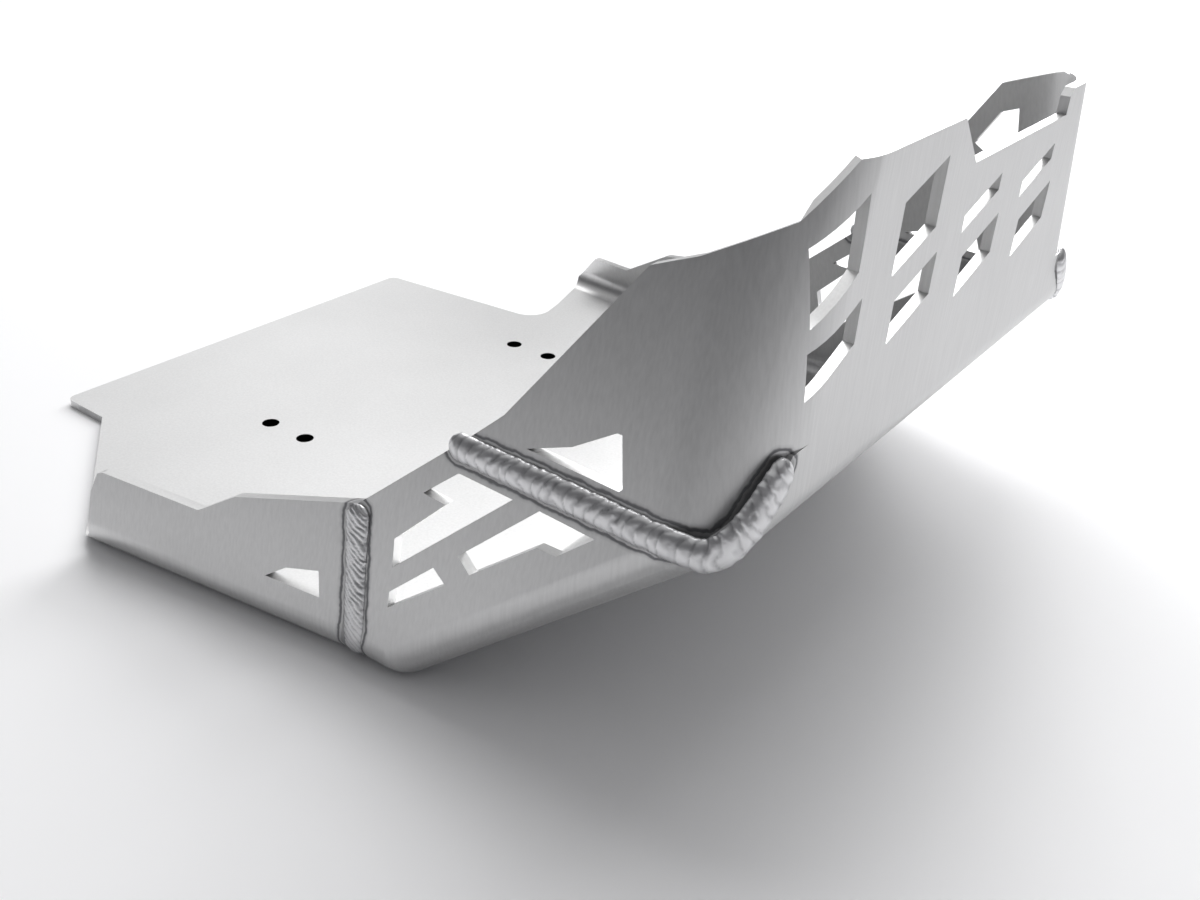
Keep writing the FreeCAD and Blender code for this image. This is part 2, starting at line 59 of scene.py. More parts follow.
class NodeCanvas:
    """Small helper that places, feeds and joins nodes in one node tree."""

    spacing = 190.0

    def __init__(self, tree: bpy.types.NodeTree) -> None:
        """Keep the tree to draw on.

        Args:
            tree: Shader or geometry node tree.
        """
        self.tree = tree
        self.column = 0

    def add(self, kind: str, name: str = "", inputs: dict[str | int, object] | None = None,
            **values: object) -> bpy.types.Node:
        """Add a node, set its properties and feed its inputs.

        Args:
            kind: Blender's identifier of the node type.
            name: Label shown on the node.
            inputs: What each input is fed with, by the input's name or index.
            **values: Property values by property name.

        Returns:
            The new node.
        """
        node = self.tree.nodes.new(kind)
        node.location = (self.column * self.spacing, 0.0)
        self.column += 1
        if name:
            node.label = name
            node.name = name
        for key, item in values.items():
            setattr(node, key, item)
        self.feed(node, inputs or {})
        return node

    def feed(self, node: bpy.types.Node, inputs: dict[str | int, object]) -> None:
        """Link or set inputs of a node.

        Args:
            node: Node whose inputs are fed.
            inputs: Socket or plain value for each input, by name or index. None leaves it alone.
        """
        for key, item in inputs.items():
            if isinstance(item, Socket):
                self.tree.links.new(item, node.inputs[key])
            elif item is not None:
                node.inputs[key].default_value = item

    def math(self, operation: str, first: object, second: object = None,
             third: object = None, clamp: bool = False) -> Socket:
        """Add a Math node fed by sockets or numbers.

        Args:
            operation: Name of the Math operation.
            first: Socket or number for the first input.
            second: Socket or number for the second input.
            third: Socket or number for the third input.
            clamp: Whether the result is held between 0 and 1.

        Returns:
            The node's output socket.
        """
        node = self.add("ShaderNodeMath", inputs={0: first, 1: second, 2: third},
                        operation=operation, use_clamp=clamp)
        return node.outputs[0]

    def product(self, first: object, second: object) -> Socket:
        """Multiply two values.

        Args:
            first: Socket or number.
            second: Socket or number.

        Returns:
            Socket of the product.
        """
        return self.math("MULTIPLY", first, second)

    def least(self, values: list[Socket]) -> Socket:
        """Find the smallest of several values.

        Args:
            values: Sockets to compare.

        Returns:
            Socket of the smallest value.
        """
        result = values[0]
        for item in values[1:]:
            result = self.math("MINIMUM", result, item)
        return result

    def vector_math(self, operation: str, first: object, second: object = None,
                    scale: object = None) -> bpy.types.Node:
        """Add a Vector Math node fed by sockets or number triples.

        Args:
            operation: Name of the Vector Math operation.
            first: Socket or triple for the first input.
            second: Socket or triple for the second input.
            scale: Socket or number for the Scale input.

        Returns:
            The node.
        """
        return self.add("ShaderNodeVectorMath", inputs={0: first, 1: second, "Scale": scale},
                        operation=operation)

    def split(self, vector: Socket) -> tuple[Socket, Socket, Socket]:
        """Take a vector apart.

        Args:
            vector: Socket of the vector.

        Returns:
            Sockets of its X, Y and Z.
        """
        node = self.add("ShaderNodeSeparateXYZ", inputs={"Vector": vector})
        return node.outputs["X"], node.outputs["Y"], node.outputs["Z"]

    def combined(self, x: Socket, y: Socket, z: Socket | None = None) -> Socket:
        """Put a vector together.

        Args:
            x: Socket of its X.
            y: Socket of its Y.
            z: Socket of its Z, which is 0 when left out.

        Returns:
            Socket of the vector.
        """
        node = self.add("ShaderNodeCombineXYZ", inputs={"X": x, "Y": y, "Z": z})
        return node.outputs["Vector"]

    def ramp(self, factor: Socket, stops: tuple[tuple[float, Triple], ...],
             name: str = "") -> Socket:
        """Add a Color Ramp.

        Args:
            factor: Socket that drives the ramp.
            stops: Positions with their RGB colours.
            name: Label shown on the node.

        Returns:
            The ramp's colour output.
        """
        node = self.add("ShaderNodeValToRGB", name, {"Fac": factor})
        band = node.color_ramp
        while len(band.elements) < len(stops):
            band.elements.new(0.5)
        for element, (position, colour) in zip(band.elements, stops):
            element.position = position
            element.color = (*colour, 1.0)
        return node.outputs["Color"]

    def blend(self, factor: object, first: object, second: object, mode: str = "MIX") -> Socket:
        """Mix two colours.

        Args:
            factor: Socket or number for how much of the second colour shows.
            first: Socket or RGB triple.
            second: Socket or RGB triple.
            mode: Blend mode's name.

        Returns:
            The mixed colour socket.
        """
        tones = [item if isinstance(item, Socket) else (*item, 1.0) for item in (first, second)]
        node = self.add("ShaderNodeMix", inputs={0: factor, 6: tones[0], 7: tones[1]},
                        data_type="RGBA", blend_type=mode)
        return node.outputs[2]


def grey_stops(pairs: tuple[tuple[float, float], ...]) -> tuple[tuple[float, Triple], ...]:
    """Turn positions with a grey level into stops of a Color Ramp.

    Args:
        pairs: Position and grey level of each stop.

    Returns:
        Position and RGB colour of each stop.
    """
    return tuple((position, (level, level, level)) for position, level in pairs)


@dataclass(frozen=True)
class WeldLine:
    """Straight stretch of weld on the right side, in millimetres from the part's origin."""

    start: Triple
    end: Triple


@dataclass(frozen=True)
class WeldRoute:
    """Route of one weld bead on the plate's right side, with the skin's direction.

    Attributes:
        node: Last word of the CAD node's name.
        points: Points along the seam, in millimetres.
        outward: The skin's direction at each point.
        swell: Size of the bead at each point, as a share.
        half_width: Half of the bead's width, in millimetres.
        proud: Height over the seam, in millimetres.
        slant: How far a ripple leans along the bead from one toe to the other.
        bow: How far a ripple's toes run ahead of its middle.
        pitch: Distance between ripples, in millimetres.
        depth: Height of a ripple, in millimetres.
    """

    node: str
    points: tuple[Triple, ...]
    outward: tuple[Triple, ...]
    swell: tuple[float, ...]
    half_width: float
    proud: float
    slant: float
    bow: float
    pitch: float
    depth: float

    def lines(self, trim: float = 0.0) -> list[WeldLine]:
        """Straight stretches between the route's points.

        Args:
            trim: Length taken off both ends, in millimetres.

        Returns:
            One stretch for each pair of neighbouring points.
        """
        places = [Vector(point) for point in self.points]
        places[0] += (places[1] - places[0]).normalized() * trim
        places[-1] += (places[-2] - places[-1]).normalized() * trim
        return [WeldLine(tuple(a), tuple(b)) for a, b in zip(places, places[1:])]

    def length(self) -> float:
        """Length of the route in millimetres.

        Returns:
            Sum of its straight stretches.
        """
        return sum((Vector(line.end) - Vector(line.start)).length for line in self.lines())


WALL_OUT = (0.0, -0.965, 0.26)

CORNER_WELD = WeldRoute(
    node="corner",
    points=((56.9, -171.0, 4.0), (59.4, -173.2, 16.0), (56.0, -166.9, 41.5), (52.9, -161.6, 62.2)),
    outward=((0.0, -0.82, -0.57), WALL_OUT, WALL_OUT, WALL_OUT),
    swell=(0.9, 0.97, 1.0, 1.15),
    half_width=5.0, proud=1.6, slant=0.8, bow=0.1, pitch=2.6, depth=0.42)

SIDE_WELD = WeldRoute(
    node="side",
    points=((88.8, -152.1, 96.1), (140.0, -152.6, 94.3), (183.0, -152.6, 92.7),
            (192.6, -149.2, 93.4), (197.6, -142.6, 99.8), (200.2, -132.0, 110.9),
            (200.6, -124.6, 118.6)),
    outward=(WALL_OUT, WALL_OUT, (0.1, -0.95, 0.24), (0.65, -0.74, 0.1), (0.88, -0.46, 0.08),
             (0.95, -0.3, 0.05), (0.97, -0.24, 0.05)),
    swell=(0.95, 1.0, 1.0, 1.1, 1.22, 1.22, 1.0),
    half_width=5.3, proud=2.3, slant=0.3, bow=-0.55, pitch=4.6, depth=0.42)

WELDS = (CORNER_WELD, SIDE_WELD)

SEAM_TAIL = WeldLine((58.5, -171.6, 5.2), (70.5, -168.4, 2.0))

BOLT_HOLES = ((-106.8, -68.6), (-82.2, -68.6), (-78.3, 87.0), (-53.7, 87.0))


def hole_mask(canvas: NodeCanvas, place: Socket, radius: float) -> Socket:
    """Mask of the four bolt holes in the floor, as seen from above.

    Args:
        canvas: Helper of the material's tree.
        place: Object coordinates with no height.
        radius: Radius of each round spot, in millimetres.

    Returns:
        Socket that is 1 within the holes and 0 elsewhere.
    """
    gaps = [canvas.vector_math("DISTANCE", place, (x * MM, y * MM, 0.0)).outputs["Value"]
            for x, y in BOLT_HOLES]
    return canvas.math("LESS_THAN", canvas.least(gaps), radius * MM)


def new_material(name: str) -> tuple[bpy.types.Material, NodeCanvas]:
    """Make a material with an empty node tree.

    Args:
        name: Name of the material.

    Returns:
        The material, and the helper of its tree.
    """
    material = bpy.data.materials.new(name)
    material.use_nodes = True
    material.node_tree.nodes.clear()
    return material, NodeCanvas(material.node_tree)


@dataclass(frozen=True)
class Relief:
    """Fine unevenness of a finish, drawn as bump."""

    name: str
    strength: float
    distance: float

    def close(self, canvas: NodeCanvas, height: Socket, colour: Socket,
              roughness: Socket) -> bpy.types.Node:
        """Add the bump, the metal shader and the output that a finish ends in.

        Args:
            canvas: Helper of the material's tree.
            height: Socket of the bump's height.
            colour: Socket of the base colour.
            roughness: Socket of the roughness.

        Returns:
            The shader node.
        """
        bump = canvas.add("ShaderNodeBump", self.name, {
            "Strength": self.strength, "Distance": self.distance, "Height": height})
        shader = canvas.add("ShaderNodeBsdfPrincipled", inputs={
            "Metallic": 1.0, "Base Color": colour, "Roughness": roughness,
            "Normal": bump.outputs["Normal"]})
        canvas.add("ShaderNodeOutputMaterial", inputs={"Surface": shader.outputs["BSDF"]})
        return shader


@dataclass(frozen=True)
class BrushedSheet:
    """Raw rolled and finely brushed aluminium, stained dark beside its welds, with shade painted
    near black on the walls of its bolt holes.

    Lengths are in millimetres. The toe line runs from the weld's toe, at 0, to the end of the
    stain, at 1, with the stain's strength at each stop.
    """

    colour: Triple = (0.71, 0.71, 0.71)
    stain: Triple = (0.22, 0.22, 0.23)
    # painted shade: near black colour for the walls of the bolt holes
    painted_bore_shade: Triple = (0.03, 0.03, 0.03)
    roughness: float = 0.42
    grain_roughness: float = 0.10
    stain_roughness: float = 0.16
    anisotropy: float = 0.3
    rolling_axis: Triple = (0.15, 0.0, 1.0)
    grain: float = 900.0
    grain_detail: float = 2.0
    grain_stretch: Triple = (1.0, 1.0, 0.06)
    grain_tones: tuple[tuple[float, float], ...] = ((0.25, 0.90), (0.75, 1.0))
    relief: Relief = Relief("brushing", 0.05, 0.0002)
    cloud: float = 14.0
    cloud_detail: float = 3.0
    cloud_shade: float = 0.95
    cloud_band: tuple[float, float] = (0.3, 0.7)
    stain_reach: float = 3.4
    toe_trim: float = 0.75
    toe_line: tuple[tuple[float, float], ...] = (
        (0.0, 0.6), (0.12, 0.3), (0.26, 0.25), (0.36, 1.0), (0.54, 0.95), (0.7, 0.2), (1.0, 0.0))
    ragged: float = 210.0
    ragged_depth: float = 2.2
    ragged_shift: float = 0.8
    slit_strength: float = 1.4
    slit_width: float = 0.7
    bore_shade_top: float = 3.7
    bore_shade_radius: float = 4.6

    def build(self) -> bpy.types.Material:
        """Make the material.

        Returns:
            The finished material.
        """
        material, canvas = new_material("brushed_aluminium")
        place = canvas.add("ShaderNodeTexCoord").outputs["Object"]
        grain = self._grain(canvas, place)
        cloud = canvas.add("ShaderNodeTexNoise", "sheet clouding", {
            "Scale": self.cloud, "Detail": self.cloud_detail, "Vector": place})
        heat = self._heat(canvas, place)
        shaded = tuple(self.cloud_shade * channel for channel in self.colour)
        tone = canvas.ramp(cloud.outputs["Fac"], (
            (self.cloud_band[0], shaded), (self.cloud_band[1], self.colour)), "sheet tone")
        fine = canvas.ramp(grain, grey_stops(self.grain_tones), "grain tone")
        brushed = canvas.blend(1.0, tone, fine, "MULTIPLY")
        stained = canvas.blend(heat, brushed, self.stain)
        # painted shade: the walls of the bolt holes are coloured near black
        coloured = canvas.blend(self._painted_bore_shade(canvas, place), stained, self.painted_bore_shade)
        rough = canvas.math("MULTIPLY_ADD", grain, self.grain_roughness,
                            self.roughness - self.grain_roughness / 2.0)
        rough = canvas.math("MULTIPLY_ADD", heat, self.stain_roughness, rough)
        shader = self.relief.close(canvas, grain, coloured, rough)
        facing = canvas.add("ShaderNodeNewGeometry").outputs["Normal"]
        across = canvas.vector_math("CROSS_PRODUCT", self.rolling_axis, facing)
        canvas.feed(shader, {"Anisotropic": self.anisotropy, "Tangent": across.outputs[0]})
        return material

    def _grain(self, canvas: NodeCanvas, place: Socket) -> Socket:
        """Fine grain: upright streaks on the walls, an even bloom on the flat floor.

        Args:
            canvas: Helper of the material's tree.
            place: Object coordinates.

        Returns:
            Socket of the grain, around 0.5.
        """
        stretch = canvas.add("ShaderNodeMapping", "grain direction", {
            "Scale": self.grain_stretch, "Vector": place})
        noise = canvas.add("ShaderNodeTexNoise", "brush lines", {
            "Scale": self.grain, "Detail": self.grain_detail,
            "Vector": stretch.outputs["Vector"]})
        return noise.outputs["Fac"]

    def _heat(self, canvas: NodeCanvas, place: Socket) -> Socket:
        """How much a point is stained by the nearest weld, on both sides of the plate.

        Args:
            canvas: Helper of the material's tree.
            place: Object coordinates.

        Returns:
            Socket between 0, bare sheet, and 1, dark weld edge.
        """
        x, y, z = canvas.split(place)
        right = canvas.combined(x, canvas.product(canvas.math("ABSOLUTE", y), -1.0), z)
        nearest = canvas.least([
            canvas.math("SUBTRACT", self._distance(canvas, right, line), weld.half_width * MM)
            for weld in WELDS for line in weld.lines(trim=self.toe_trim * weld.half_width)])
        wander = canvas.add("ShaderNodeTexNoise", "ragged edge", {
            "Scale": self.ragged, "Vector": place})
        ragged = canvas.math("MULTIPLY_ADD", wander.outputs["Fac"], self.ragged_depth * MM,
                             canvas.math("SUBTRACT", nearest, self.ragged_shift * MM))
        reach = canvas.math("DIVIDE", ragged, self.stain_reach * MM, clamp=True)
        stained = canvas.ramp(reach, grey_stops(self.toe_line), "toe line")
        open_seam = self._distance(canvas, right, SEAM_TAIL)
        slit = canvas.math("SUBTRACT", self.slit_strength, canvas.math(
            "DIVIDE", open_seam, self.slit_width * MM), clamp=True)
        return canvas.math("MAXIMUM", stained, slit)

    def _painted_bore_shade(self, canvas: NodeCanvas, place: Socket) -> Socket:
        """Find the walls of the floor's bolt holes, where shade is painted dark.

        Args:
            canvas: Helper of the material's tree.
            place: Object coordinates.

        Returns:
            Socket that is 1 inside the holes and 0 elsewhere.
        """
        x, y, z = canvas.split(place)
        below = canvas.math("LESS_THAN", z, self.bore_shade_top * MM)
        mask = hole_mask(canvas, canvas.combined(x, y), self.bore_shade_radius)
        return canvas.product(mask, below)

    @staticmethod
    def _distance(canvas: NodeCanvas, place: Socket, line: WeldLine) -> Socket:
        """Distance from a point to one straight stretch of weld.

        Args:
            canvas: Helper of the material's tree.
            place: Coordinates of the point.
            line: Stretch of weld.

        Returns:
            Socket of the distance in metres.
        """
        start = Vector(line.start) * MM
        along = Vector(line.end) * MM - start
        offset = canvas.vector_math("SUBTRACT", place, start).outputs[0]
        dot = canvas.vector_math("DOT_PRODUCT", offset, along / along.length_squared)
        share = canvas.math("MAXIMUM", canvas.math("MINIMUM", dot.outputs["Value"], 1.0), 0.0)
        foot = canvas.vector_math("SCALE", along, None, share).outputs[0]
        return canvas.vector_math("DISTANCE", offset, foot).outputs["Value"]


@dataclass(frozen=True)
class WeldMetal:
    """Bright rippled filler metal with random oxide speckle, with shade painted into the valleys
    between ripples and highlight painted on their crests.
    """

    # crest is a painted highlight on the ripple tops and valley a painted shade between ripples,
    # both mixed with the real oxide speckle
    crest: Triple = (0.76, 0.76, 0.77)
    valley: Triple = (0.46, 0.46, 0.47)
    tone_band: tuple[float, float] = (0.25, 0.8)
    roughness: float = 0.36
    speckle_roughness: float = 0.2
    speckle: float = 420.0
    speckle_detail: float = 4.0
    speckle_share: float = 0.5
    painted_ripple_shade_share: float = 0.75
    relief: Relief = Relief("pitting", 0.35, 0.0004)

    def build(self) -> bpy.types.Material:
        """Make the material.

        Returns:
            The finished material.
        """
        material, canvas = new_material("weld_metal")
        place = canvas.add("ShaderNodeTexCoord").outputs["Object"]
        speckle = canvas.add("ShaderNodeTexNoise", "oxide speckle", {
            "Scale": self.speckle, "Detail": self.speckle_detail, "Vector": place}).outputs["Fac"]
        height = canvas.add("ShaderNodeAttribute", "ripple height",
                            attribute_name="ripple_height").outputs["Fac"]
        # painted shade and highlight: the ripple height darkens the valleys and lightens the
        # crests, on top of the real speckle
        mixed = canvas.math("MULTIPLY_ADD", speckle, self.speckle_share,
                            canvas.product(height, self.painted_ripple_shade_share), clamp=True)
        colour = canvas.ramp(mixed, (
            (self.tone_band[0], self.valley), (self.tone_band[1], self.crest)), "speckle and painted ripple shade")
        rough = canvas.math("MULTIPLY_ADD", speckle, self.speckle_roughness,
                            self.roughness - self.speckle_roughness / 2.0)
        self.relief.close(canvas, speckle, colour, rough)
        return material


@dataclass
class FoldedSheet:
    """The folded plate itself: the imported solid's skin, merged and shaded smooth on its bends."""

    finish: BrushedSheet = field(default_factory=BrushedSheet)
    node: str = "skid_plate"
    name: str = "folded_sheet"
    merge_distance: float = 1e-6
    smooth_below: float = 40.0
    normal_digits: int = 2
    offset_digits: int = 3

    def build(self) -> bpy.types.Object:
        """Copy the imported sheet, merge its loose triangles and dress it.

        Returns:
            The visible sheet.
        """
        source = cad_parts[self.node]
        mesh = source.data.copy()
        mesh.name = self.name
        work = bmesh.new()
        work.from_mesh(mesh)
        bmesh.ops.remove_doubles(work, verts=work.verts, dist=self.merge_distance)
        work.to_mesh(mesh)
        work.free()
        for polygon in mesh.polygons:
            polygon.use_smooth = True
        mesh.set_sharp_from_angle(angle=math.radians(self.smooth_below))
        mesh.normals_split_custom_set(self._plane_led_normals(mesh))
        mesh.materials.clear()
        mesh.materials.append(self.finish.build())
        sheet = bpy.data.objects.new(self.name, mesh)
        bpy.context.scene.collection.objects.link(sheet)
        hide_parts(self.node)
        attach(sheet, "root")
        return sheet

    def _plane_led_normals(self, mesh: bpy.types.Mesh) -> list[Vector]:
        """Corner normals that keep plane faces flat right up to the start of a bend.

        Args:
            mesh: The merged sheet.

        Returns:
            One normal for each face corner, led by the widest plane at its vertex.
        """
        limit = math.cos(math.radians(self.smooth_below))
        extent: dict[tuple[float, ...], float] = {}
        planes: list[tuple[float, ...]] = []
        around: dict[int, list[int]] = {}
        for polygon in mesh.polygons:
            plane = (*(round(part, self.normal_digits) for part in polygon.normal),
                     round(polygon.normal.dot(polygon.center), self.offset_digits))
            planes.append(plane)
            extent[plane] = extent.get(plane, 0.0) + polygon.area
            for vertex in polygon.vertices:
                around.setdefault(vertex, []).append(polygon.index)
        normals = []
        for polygon in mesh.polygons:
            for vertex in polygon.vertices:
                total = Vector()
                for index in around[vertex]:
                    other = mesh.polygons[index]
                    if other.normal.dot(polygon.normal) > limit:
                        total += other.normal * extent[planes[index]] ** 2
                normals.append(total.normalized())
        return normals


@dataclass
class WeldBead:
    """Weld bead along one route: a closed skin with slanted waves, made by Geometry Nodes."""

    route: WeldRoute
    side: Side
    metal: bpy.types.Material
    steps_around: int = 37
    steps_per_ripple: int = 9
    seed: int = 4
    guide_steps: int = 80
    merge_distance: float = 0.00002
    sunk: float = 0.9
    crown_power: float = 3.0
    toe_noise: float = 260.0
    toe_range: tuple[float, float] = (0.88, 0.24)
    pace_noise: float = 120.0
    pace_across: float = 0.004
    pace_range: float = 1.8
    noise_detail: float = 2.0
    ripple_skew: float = 0.7
    ripple_width: float = 0.8

    @property
    def mirror(self) -> float:
        """Sign that carries the right side's route to this bead's side."""
        return -float(self.side.value)

    def build(self) -> bpy.types.Object:
        """Make the bead as a plain mesh.

        Returns:
            The finished bead, riding on the plate.
        """
        word = self.side.name.lower()
        name = f"ripples_{word}_{self.route.node}"
        guide = self._guide(name)
        modifier = guide.modifiers.new("ripples", "NODES")
        modifier.node_group = self._tree()
        self._set_inputs(modifier)
        view = bpy.context.evaluated_depsgraph_get()
        mesh = bpy.data.meshes.new_from_object(guide.evaluated_get(view))
        mesh.name = name
        guide.modifiers.clear()
        old = guide.data
        guide.data = mesh
        bpy.data.meshes.remove(old)
        work = bmesh.new()
        work.from_mesh(mesh)
        bmesh.ops.recalc_face_normals(work, faces=work.faces)
        work.to_mesh(mesh)
        work.free()
        for polygon in mesh.polygons:
            polygon.use_smooth = True
        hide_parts(f"weld_{word}_{self.route.node}")
        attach(guide, "root")
        return guide

    def _guide(self, name: str) -> bpy.types.Object:
        """Polyline along the seam with the skin's direction and the bead's swell on each vertex.

        Args:
            name: Name of the object and its mesh.

        Returns:
            The guide.
        """
        mesh = bpy.data.meshes.new(name)
        flip = self.mirror
        places = [Vector((x, y * flip, z)) * MM for x, y, z in self.route.points]
        mesh.from_pydata(places, [(i, i + 1) for i in range(len(places) - 1)], [])
        mesh.attributes.new("outward", "FLOAT_VECTOR", "POINT")
        mesh.attributes.new("swell", "FLOAT", "POINT")
        for index, (x, y, z) in enumerate(self.route.outward):
            mesh.attributes["outward"].data[index].vector = Vector((x, y * flip, z)).normalized()
            mesh.attributes["swell"].data[index].value = self.route.swell[index]
        guide = bpy.data.objects.new(name, mesh)
        bpy.context.scene.collection.objects.link(guide)
        return guide

    def _inputs(self) -> dict[str, float | int]:
        """Inputs of the tree with this bead's values, in metres where they are lengths.

        Returns:
            Value of each input by name. A whole number makes an integer socket.
        """
        return {
            "Ripple Pitch": self.route.pitch * MM,
            "Ripple Depth": self.route.depth * MM,
            "Half Width": self.route.half_width * MM,
            "Proud": self.route.proud * MM,
            "Slant": self.route.slant * self.mirror,
            "Bow": self.route.bow,
            "Steps Along": int(self.route.length() / self.route.pitch * self.steps_per_ripple),
            "Steps Around": self.steps_around,
            "Seed": self.seed,
        }

    def _set_inputs(self, modifier: bpy.types.NodesModifier) -> None:
        """Give the modifier this bead's values, by socket identifier.

        Args:
            modifier: Modifier that holds the tree.
        """
        values = self._inputs()
        for item in modifier.node_group.interface.items_tree:
            if item.item_type == "SOCKET" and item.name in values:
                modifier[item.identifier] = values[item.name]

    def _tree(self) -> bpy.types.GeometryNodeTree:
        """Geometry Nodes tree that wraps a grid round the guide and raises the ripples on it.

        Returns:
            The tree, ending in Realize Instances and Set Material.
        """
        tree = bpy.data.node_groups.new("weld_ripples", "GeometryNodeTree")
        face = tree.interface
        face.new_socket("Geometry", in_out="INPUT", socket_type="NodeSocketGeometry")
        for label, value in self._inputs().items():
            kind = "NodeSocketInt" if isinstance(value, int) else "NodeSocketFloat"
            face.new_socket(label, in_out="INPUT", socket_type=kind)
        face.new_socket("Geometry", in_out="OUTPUT", socket_type="NodeSocketGeometry")
        canvas = NodeCanvas(tree)
        given = canvas.add("NodeGroupInput")
        curve = self._curve(canvas, given)
        grid = canvas.add("GeometryNodeMeshGrid", "bead skin", {
            "Size X": 1.0, "Size Y": 1.0, "Vertices X": given.outputs["Steps Along"],
            "Vertices Y": given.outputs["Steps Around"]})
        x, y, _ = canvas.split(canvas.add("GeometryNodeInputPosition").outputs["Position"])
        share = canvas.math("ADD", x, 0.5)
        angle = canvas.product(y, 2.0 * math.pi)
        across = canvas.math("COSINE", angle)
        length = canvas.add("GeometryNodeCurveLength", inputs={"Curve": curve}).outputs["Length"]
        along = canvas.product(share, length)
        taper = self._taper(canvas, given, share, length)
        hump = self._hump(canvas, given, along, across)
        swell = self._sampled(canvas, curve, share, "FLOAT", "swell")
        body = canvas.product(taper, swell.outputs["Value"])
        height = canvas.add("GeometryNodeStoreNamedAttribute", "height on ripple", {
            "Name": "ripple_height", "Geometry": grid.outputs["Mesh"], "Value": hump},
                            data_type="FLOAT", domain="POINT")
        lift = self._lift(canvas, given, canvas.math("SINE", angle), across, hump)
        edge = canvas.product(across, self._edge(canvas, given, along))
        reach = canvas.product(edge, given.outputs["Half Width"])
        place = self._place(canvas, curve, share, canvas.product(reach, body),
                            canvas.product(lift, body))
        shaped = canvas.add("GeometryNodeSetPosition", inputs={
            "Geometry": height.outputs["Geometry"], "Position": place})
        closed = canvas.add("GeometryNodeMergeByDistance", inputs={
            "Distance": self.merge_distance, "Geometry": shaped.outputs["Geometry"]})
        real = canvas.add("GeometryNodeRealizeInstances", inputs={
            "Geometry": closed.outputs["Geometry"]})
        dress = canvas.add("GeometryNodeSetMaterial", inputs={
            "Material": self.metal, "Geometry": real.outputs["Geometry"]})
        canvas.add("NodeGroupOutput", inputs={"Geometry": dress.outputs["Geometry"]})
        return tree

    def _curve(self, canvas: NodeCanvas, given: bpy.types.Node) -> Socket:
        """Smooth curve through the guide's points.

        Args:
            canvas: Helper of the tree.
            given: The tree's input node.

        Returns:
            Socket of the curve.
        """
        curve = canvas.add("GeometryNodeMeshToCurve", inputs={"Mesh": given.outputs["Geometry"]})
        smooth = canvas.add("GeometryNodeCurveSplineType", inputs={
            "Curve": curve.outputs["Curve"]}, spline_type="CATMULL_ROM")
        fine = canvas.add("GeometryNodeResampleCurve", inputs={
            "Count": self.guide_steps, "Curve": smooth.outputs["Curve"]}, mode="COUNT")
        return fine.outputs["Curve"]

    @staticmethod
    def _sampled(canvas: NodeCanvas, curve: Socket, share: Socket, kind: str,
                 name: str) -> bpy.types.Node:
        """Read one attribute of the guide at a share of its length.

        Args:
            canvas: Helper of the tree.
            curve: Socket of the guide's curve.
            share: Socket of the share, from 0 to 1.
            kind: Data type of the attribute.
            name: Name of the attribute.

        Returns:
            Sample Curve node with the value, the position and the tangent.
        """
        source = canvas.add("GeometryNodeInputNamedAttribute", inputs={"Name": name},
                            data_type=kind)
        return canvas.add("GeometryNodeSampleCurve", inputs={
            "Curves": curve, "Value": source.outputs["Attribute"], "Factor": share},
                          data_type=kind, mode="FACTOR", use_all_curves=True)

    @staticmethod
    def _taper(canvas: NodeCanvas, given: bpy.types.Node, share: Socket,
               length: Socket) -> Socket:
        """Round both ends of the bead.

        Args:
            canvas: Helper of the tree.
            given: The tree's input node.
            share: Share of the length at each point.
            length: Length of the curve.

        Returns:
            Socket that is 0 at the ends and 1 from half a width inwards.
        """
        nearest = canvas.math("MINIMUM", share, canvas.math("SUBTRACT", 1.0, share))
        gone = canvas.math("DIVIDE", canvas.product(nearest, length),
                           given.outputs["Half Width"], clamp=True)
        left = canvas.math("SUBTRACT", 1.0, gone)
        return canvas.math("SQRT", canvas.math("SUBTRACT", 1.0, canvas.product(left, left)))

    def _edge(self, canvas: NodeCanvas, given: bpy.types.Node, along: Socket) -> Socket:
        """Uneven width of the bead, a little different along the seam.

        Args:
            canvas: Helper of the tree.
            given: The tree's input node.
            along: Distance along the curve.

        Returns:
            Socket of the width, around 1.
        """
        narrowest, spread = self.toe_range
        noise = canvas.add("ShaderNodeTexNoise", "uneven toe", noise_dimensions="1D")
        canvas.feed(noise, {"Scale": self.toe_noise, "Detail": self.noise_detail,
                            "W": canvas.math("ADD", along, given.outputs["Seed"])})
        return canvas.math("MULTIPLY_ADD", noise.outputs["Fac"], spread, narrowest)

    def _hump(self, canvas: NodeCanvas, given: bpy.types.Node, along: Socket,
              across: Socket) -> Socket:
        """Height of the ripples, slanted and bowed.

        Args:
            canvas: Helper of the tree.
            given: The tree's input node.
            along: Distance along the curve.
            across: Share across the bead, from -1 to 1.

        Returns:
            Socket from 0 in the valley to 1 on the crest.
        """
        width = given.outputs["Half Width"]
        spot = canvas.combined(along, canvas.product(across, self.pace_across))
        noise = canvas.add("ShaderNodeTexNoise", "uneven pace", noise_dimensions="2D")
        canvas.feed(noise, {"Scale": self.pace_noise, "Detail": self.noise_detail,
                            "Vector": spot})
        slanted = canvas.product(canvas.product(across, given.outputs["Slant"]), width)
        bowed = canvas.product(canvas.product(across, across),
                               canvas.product(width, given.outputs["Bow"]))
        course = canvas.math("ADD", canvas.math("ADD", along, slanted), bowed)
        phase = canvas.math("MULTIPLY_ADD", noise.outputs["Fac"], self.pace_range, canvas.math(
            "DIVIDE", course, given.outputs["Ripple Pitch"]))
        part = canvas.math("POWER", canvas.math("FRACT", phase), self.ripple_skew)
        wave = canvas.math("SINE", canvas.product(part, math.pi))
        return canvas.math("POWER", wave, self.ripple_width)

